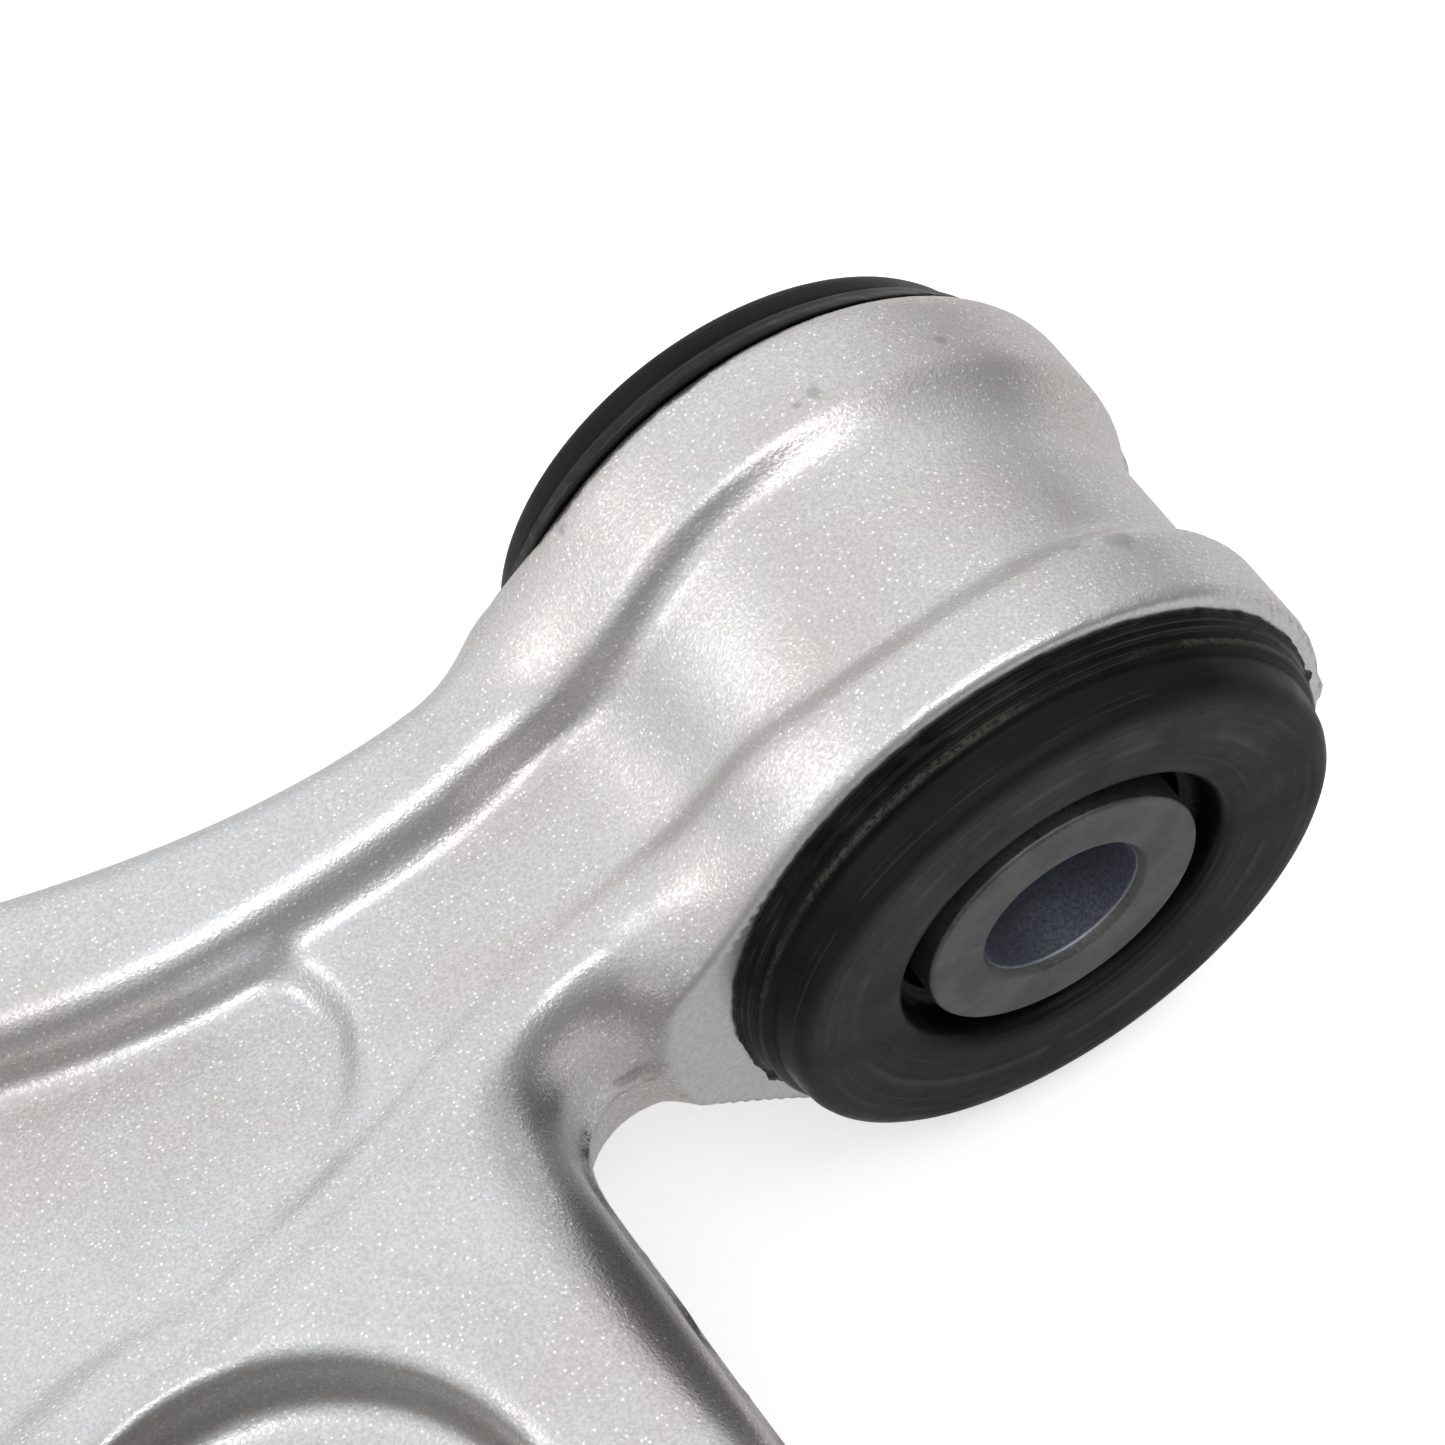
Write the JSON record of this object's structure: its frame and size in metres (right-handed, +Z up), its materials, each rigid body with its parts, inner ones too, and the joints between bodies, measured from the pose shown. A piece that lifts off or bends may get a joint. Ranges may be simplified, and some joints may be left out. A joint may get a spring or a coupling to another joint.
{
  "type": "control arm",
  "caption": "L-shaped forged aluminium lower control arm with a horizontal front bush, a vertical rear bush and a ball joint with a dust boot.",
  "frame": {"origin": "middle of the arm in plan, on the plane it lies on", "axes": "+X outboard from the bushes to the ball joint, +Y from the front bush to the rear bush, +Z up along the ball stud"},
  "size_m": [0.412, 0.352, 0.1046],
  "materials": {
    "forged_aluminium": "shot-blasted forging with a fine sparkle",
    "machined_steel": "satin machined steel",
    "plated_steel": "zinc-plated, semi-bright",
    "black_rubber": "moulded, semi-matt",
    "white_plastic": "natural polyamide"
  },
  "bodies": {
    "arm": {"arm_forging": "forged_aluminium", "front_bush_outer_sleeve": "machined_steel", "front_bush_rubber": "black_rubber", "rear_bush_outer_sleeve": "machined_steel", "rear_bush_rubber": "black_rubber", "ball_joint_housing": "plated_steel", "ball_joint_seat": "white_plastic", "ball_joint_preload_disc": "machined_steel", "ball_joint_cap": "plated_steel", "ball_joint_snap_ring": "machined_steel", "dust_boot": "black_rubber", "boot_lower_ring": "plated_steel"},
    "front_core": {"front_bush_inner_sleeve": "machined_steel"},
    "rear_core": {"rear_bush_inner_sleeve": "machined_steel", "rear_bush_core": "forged_aluminium", "rear_bush_upper_stop": "black_rubber", "rear_bush_lower_stop": "black_rubber"},
    "stud_tilt": {"boot_upper_ring": "plated_steel", "boot_sliding_ring": "white_plastic"},
    "stud_spin": {"ball_stud": "machined_steel", "stud_nut": "plated_steel", "stud_nut_insert": "white_plastic"}
  },
  "joints": [
    {"name": "rear_bush_tilt", "type": "hinge", "parent": "arm", "child": "rear_core", "pos_m": [-0.17, 0.14, 0.0286], "axis": [0, 1, 0], "range_deg": [-15, 15], "stiffness_Nm_per_rad": 20, "deforming": ["rear_bush_rubber"]},
    {"name": "front_bush_twist", "type": "hinge", "parent": "arm", "child": "front_core", "pos_m": [-0.17, -0.095, 0.0286], "axis": [0, 1, 0], "range_deg": [-15, 15], "stiffness_Nm_per_rad": 40},
    {"name": "ball_joint_tilt", "type": "hinge", "parent": "arm", "child": "stud_tilt", "pos_m": [0.175, -0.145, 0.0286], "axis": [0, 1, 0], "range_deg": [-22, 22], "deforming": ["dust_boot"]},
    {"name": "ball_stud_spin", "type": "hinge", "parent": "stud_tilt", "child": "stud_spin", "pos_m": [0.175, -0.145, 0.0286], "axis": [0, 0, 1], "continuous": true}
  ],
  "couplings": [
    {"joint": "front_bush_twist", "follows": "rear_bush_tilt", "ratio": 1}
  ]
}
